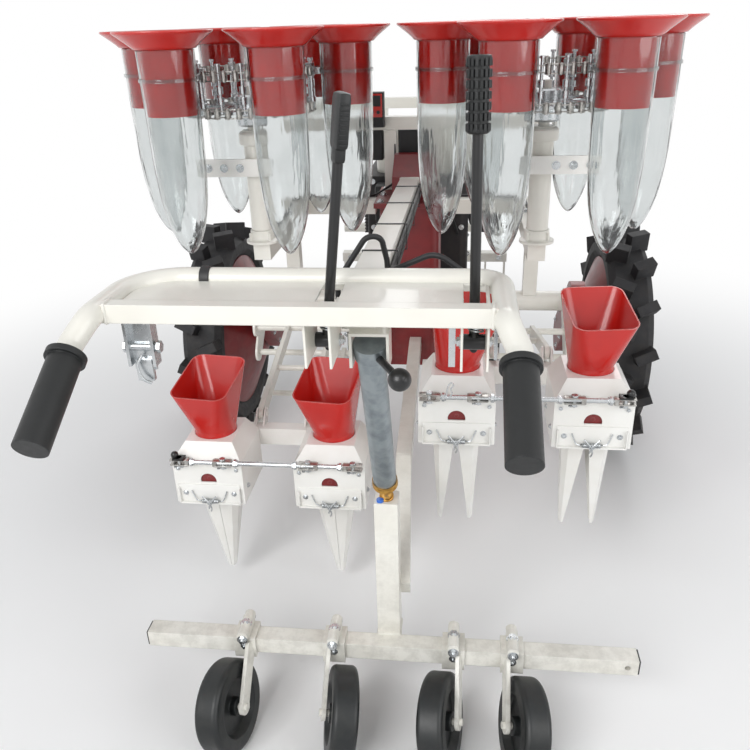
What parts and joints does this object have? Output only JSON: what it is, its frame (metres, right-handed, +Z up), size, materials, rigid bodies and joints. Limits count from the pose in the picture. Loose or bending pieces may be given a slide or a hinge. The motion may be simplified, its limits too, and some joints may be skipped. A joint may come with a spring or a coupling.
{
  "type": "vegetable transplanter",
  "caption": "Walk-behind transplanter with cup carousels, duck-bill planters, ribbed drive wheels, press wheels and a handlebar",
  "frame": {"origin": "on the ground below the middle of the machine's box", "axes": "+X right seen from the operator, +Y forward in travel, +Z up"},
  "size_m": [1.268, 2.1072, 1.175],
  "materials": {
    "cream_paint": "semi-gloss cream paint",
    "red_paint": "gloss red paint",
    "red_plastic": "gloss red moulding",
    "clear_plastic": "clear moulded plastic",
    "dark_metal": "dark painted casting",
    "tank_paint": "pale paint",
    "black_paint": "black paint",
    "zinc_steel": "zinc plated",
    "grip_rubber": "moulded rubber",
    "wheel_rubber": "smooth rubber",
    "tyre_rubber": "ribbed tyre rubber",
    "black_plastic": "matt black plastic"
  },
  "bodies": {
    "chassis": {"main_beam": "cream_paint", "chassis_frame": "cream_paint", "gearbox": "red_paint", "drive_axles": "cream_paint", "guide_forks": "cream_paint", "bumper": "black_paint", "engine": "dark_metal", "fuel_tank": "tank_paint", "silencer": "dark_metal", "seedling_rack": "cream_paint", "carousel_stand": "cream_paint", "handlebar": "cream_paint", "handle_plate": "cream_paint", "hand_grips": "grip_rubber", "lever_stems": "black_paint", "lever_grips": "grip_rubber", "trailing_arm": "cream_paint", "press_post": "cream_paint", "press_bar": "cream_paint", "press_arms": "cream_paint", "depth_screw": "zinc_steel", "screw_knobs": "black_plastic", "control_boxes": "black_plastic", "control_cables": "black_plastic", "handle_brackets": "zinc_steel"},
    "drive_wheel_left": {"drive_tyre_left": "tyre_rubber", "drive_rim_left": "red_paint"},
    "guide_wheel_body_left": {"guide_wheel_left": "wheel_rubber"},
    "drive_wheel_right": {"drive_tyre_right": "tyre_rubber", "drive_rim_right": "red_paint"},
    "guide_wheel_body_right": {"guide_wheel_right": "wheel_rubber"},
    "press_wheel_1_body": {"press_wheel_1": "wheel_rubber"},
    "press_wheel_2_body": {"press_wheel_2": "wheel_rubber"},
    "press_wheel_3_body": {"press_wheel_3": "wheel_rubber"},
    "press_wheel_4_body": {"press_wheel_4": "wheel_rubber"},
    "carousel_left": {"carousel_wheel_left": "zinc_steel", "cup_funnels_left": "red_plastic", "clear_cups_left": "clear_plastic"},
    "carousel_right": {"carousel_wheel_right": "zinc_steel", "cup_funnels_right": "red_plastic", "clear_cups_right": "clear_plastic"},
    "lift_arm_left": {"lift_arms_left": "cream_paint"},
    "lift_link_left": {"lift_links_left": "cream_paint"},
    "planters_left": {"planter_frame_left": "cream_paint", "hoppers_left": "red_plastic", "tie_rods_left": "zinc_steel"},
    "jaw_left_outer_a_body": {"jaw_left_outer_a": "cream_paint"},
    "jaw_left_outer_b_body": {"jaw_left_outer_b": "cream_paint"},
    "jaw_left_inner_a_body": {"jaw_left_inner_a": "cream_paint"},
    "jaw_left_inner_b_body": {"jaw_left_inner_b": "cream_paint"},
    "lift_arm_right": {"lift_arms_right": "cream_paint"},
    "lift_link_right": {"lift_links_right": "cream_paint"},
    "planters_right": {"planter_frame_right": "cream_paint", "hoppers_right": "red_plastic", "tie_rods_right": "zinc_steel"},
    "jaw_right_inner_a_body": {"jaw_right_inner_a": "cream_paint"},
    "jaw_right_inner_b_body": {"jaw_right_inner_b": "cream_paint"},
    "jaw_right_outer_a_body": {"jaw_right_outer_a": "cream_paint"},
    "jaw_right_outer_b_body": {"jaw_right_outer_b": "cream_paint"}
  },
  "joints": [
    {"name": "drive_axle_left", "type": "hinge", "parent": "chassis", "child": "drive_wheel_left", "pos_m": [-0.575, 0.41, 0.325], "axis": [1, 0, 0], "continuous": true},
    {"name": "guide_axle_left", "type": "hinge", "parent": "chassis", "child": "guide_wheel_body_left", "pos_m": [-0.25, 0.905, 0.11], "axis": [1, 0, 0], "continuous": true},
    {"name": "drive_axle_right", "type": "hinge", "parent": "chassis", "child": "drive_wheel_right", "pos_m": [0.575, 0.41, 0.325], "axis": [1, 0, 0], "continuous": true},
    {"name": "guide_axle_right", "type": "hinge", "parent": "chassis", "child": "guide_wheel_body_right", "pos_m": [0.25, 0.905, 0.11], "axis": [1, 0, 0], "continuous": true},
    {"name": "press_wheel_1_axle", "type": "hinge", "parent": "chassis", "child": "press_wheel_1_body", "pos_m": [-0.265, -0.778, 0.08127], "axis": [0.9698, -0.171, 0.1736], "continuous": true},
    {"name": "press_wheel_2_axle", "type": "hinge", "parent": "chassis", "child": "press_wheel_2_body", "pos_m": [-0.062, -0.778, 0.08127], "axis": [-0.9698, -0.171, 0.1736], "continuous": true},
    {"name": "press_wheel_3_axle", "type": "hinge", "parent": "chassis", "child": "press_wheel_3_body", "pos_m": [0.112, -0.778, 0.08127], "axis": [0.9698, -0.171, 0.1736], "continuous": true},
    {"name": "press_wheel_4_axle", "type": "hinge", "parent": "chassis", "child": "press_wheel_4_body", "pos_m": [0.254, -0.778, 0.08127], "axis": [-0.9698, -0.171, 0.1736], "continuous": true},
    {"name": "carousel_spindle_left", "type": "hinge", "parent": "chassis", "child": "carousel_left", "pos_m": [-0.28, -0.2, 1.035], "axis": [0, 0, 1], "continuous": true},
    {"name": "carousel_spindle_right", "type": "hinge", "parent": "chassis", "child": "carousel_right", "pos_m": [0.28, -0.2, 1.035], "axis": [0, 0, 1], "continuous": true},
    {"name": "lift_left", "type": "hinge", "parent": "chassis", "child": "lift_arm_left", "pos_m": [0, 0.095, 0.387], "axis": [1, 0, 0], "range_deg": [-28.78, 0]},
    {"name": "lift_link_pivot_left", "type": "hinge", "parent": "chassis", "child": "lift_link_left", "pos_m": [0, 0.095, 0.457], "axis": [1, 0, 0], "range_deg": [-28.78, 0]},
    {"name": "planter_pivot_left", "type": "hinge", "parent": "lift_arm_left", "child": "planters_left", "pos_m": [0, -0.22465, 0.305], "axis": [1, 0, 0], "range_deg": [0, 28.78]},
    {"name": "jaw_left_outer_a_pin", "type": "hinge", "parent": "planters_left", "child": "jaw_left_outer_a_body", "pos_m": [-0.4235, -0.345, 0.281], "axis": [0, 1, 0], "range_deg": [0, 6.5]},
    {"name": "jaw_left_outer_b_pin", "type": "hinge", "parent": "planters_left", "child": "jaw_left_outer_b_body", "pos_m": [-0.3475, -0.345, 0.281], "axis": [0, 1, 0], "range_deg": [-6.5, 0]},
    {"name": "jaw_left_inner_a_pin", "type": "hinge", "parent": "planters_left", "child": "jaw_left_inner_a_body", "pos_m": [-0.1665, -0.345, 0.281], "axis": [0, 1, 0], "range_deg": [0, 6.5]},
    {"name": "jaw_left_inner_b_pin", "type": "hinge", "parent": "planters_left", "child": "jaw_left_inner_b_body", "pos_m": [-0.0905, -0.345, 0.281], "axis": [0, 1, 0], "range_deg": [-6.5, 0]},
    {"name": "lift_right", "type": "hinge", "parent": "chassis", "child": "lift_arm_right", "pos_m": [0, 0.095, 0.387], "axis": [1, 0, 0], "range_deg": [0, 28.78]},
    {"name": "lift_link_pivot_right", "type": "hinge", "parent": "chassis", "child": "lift_link_right", "pos_m": [0, 0.095, 0.457], "axis": [1, 0, 0], "range_deg": [0, 28.78]},
    {"name": "planter_pivot_right", "type": "hinge", "parent": "lift_arm_right", "child": "planters_right", "pos_m": [0, -0.22465, 0.469], "axis": [1, 0, 0], "range_deg": [-28.78, 0]},
    {"name": "jaw_right_inner_a_pin", "type": "hinge", "parent": "planters_right", "child": "jaw_right_inner_a_body", "pos_m": [0.0905, -0.345, 0.445], "axis": [0, 1, 0], "range_deg": [-6.5, 0]},
    {"name": "jaw_right_inner_b_pin", "type": "hinge", "parent": "planters_right", "child": "jaw_right_inner_b_body", "pos_m": [0.1665, -0.345, 0.445], "axis": [0, 1, 0], "range_deg": [0, 6.5]},
    {"name": "jaw_right_outer_a_pin", "type": "hinge", "parent": "planters_right", "child": "jaw_right_outer_a_body", "pos_m": [0.3475, -0.345, 0.445], "axis": [0, 1, 0], "range_deg": [-6.5, 0]},
    {"name": "jaw_right_outer_b_pin", "type": "hinge", "parent": "planters_right", "child": "jaw_right_outer_b_body", "pos_m": [0.4235, -0.345, 0.445], "axis": [0, 1, 0], "range_deg": [0, 6.5]}
  ],
  "couplings": [
    {"joint": "lift_link_pivot_left", "follows": "lift_left", "ratio": 1},
    {"joint": "planter_pivot_left", "follows": "lift_left", "ratio": -1},
    {"joint": "jaw_left_outer_b_pin", "follows": "jaw_left_outer_a_pin", "ratio": -1},
    {"joint": "jaw_left_inner_a_pin", "follows": "jaw_left_outer_a_pin", "ratio": 1},
    {"joint": "jaw_left_inner_b_pin", "follows": "jaw_left_outer_a_pin", "ratio": -1},
    {"joint": "lift_link_pivot_right", "follows": "lift_right", "ratio": 1},
    {"joint": "planter_pivot_right", "follows": "lift_right", "ratio": -1},
    {"joint": "jaw_right_inner_b_pin", "follows": "jaw_right_inner_a_pin", "ratio": -1},
    {"joint": "jaw_right_outer_a_pin", "follows": "jaw_right_inner_a_pin", "ratio": 1},
    {"joint": "jaw_right_outer_b_pin", "follows": "jaw_right_inner_a_pin", "ratio": -1}
  ]
}
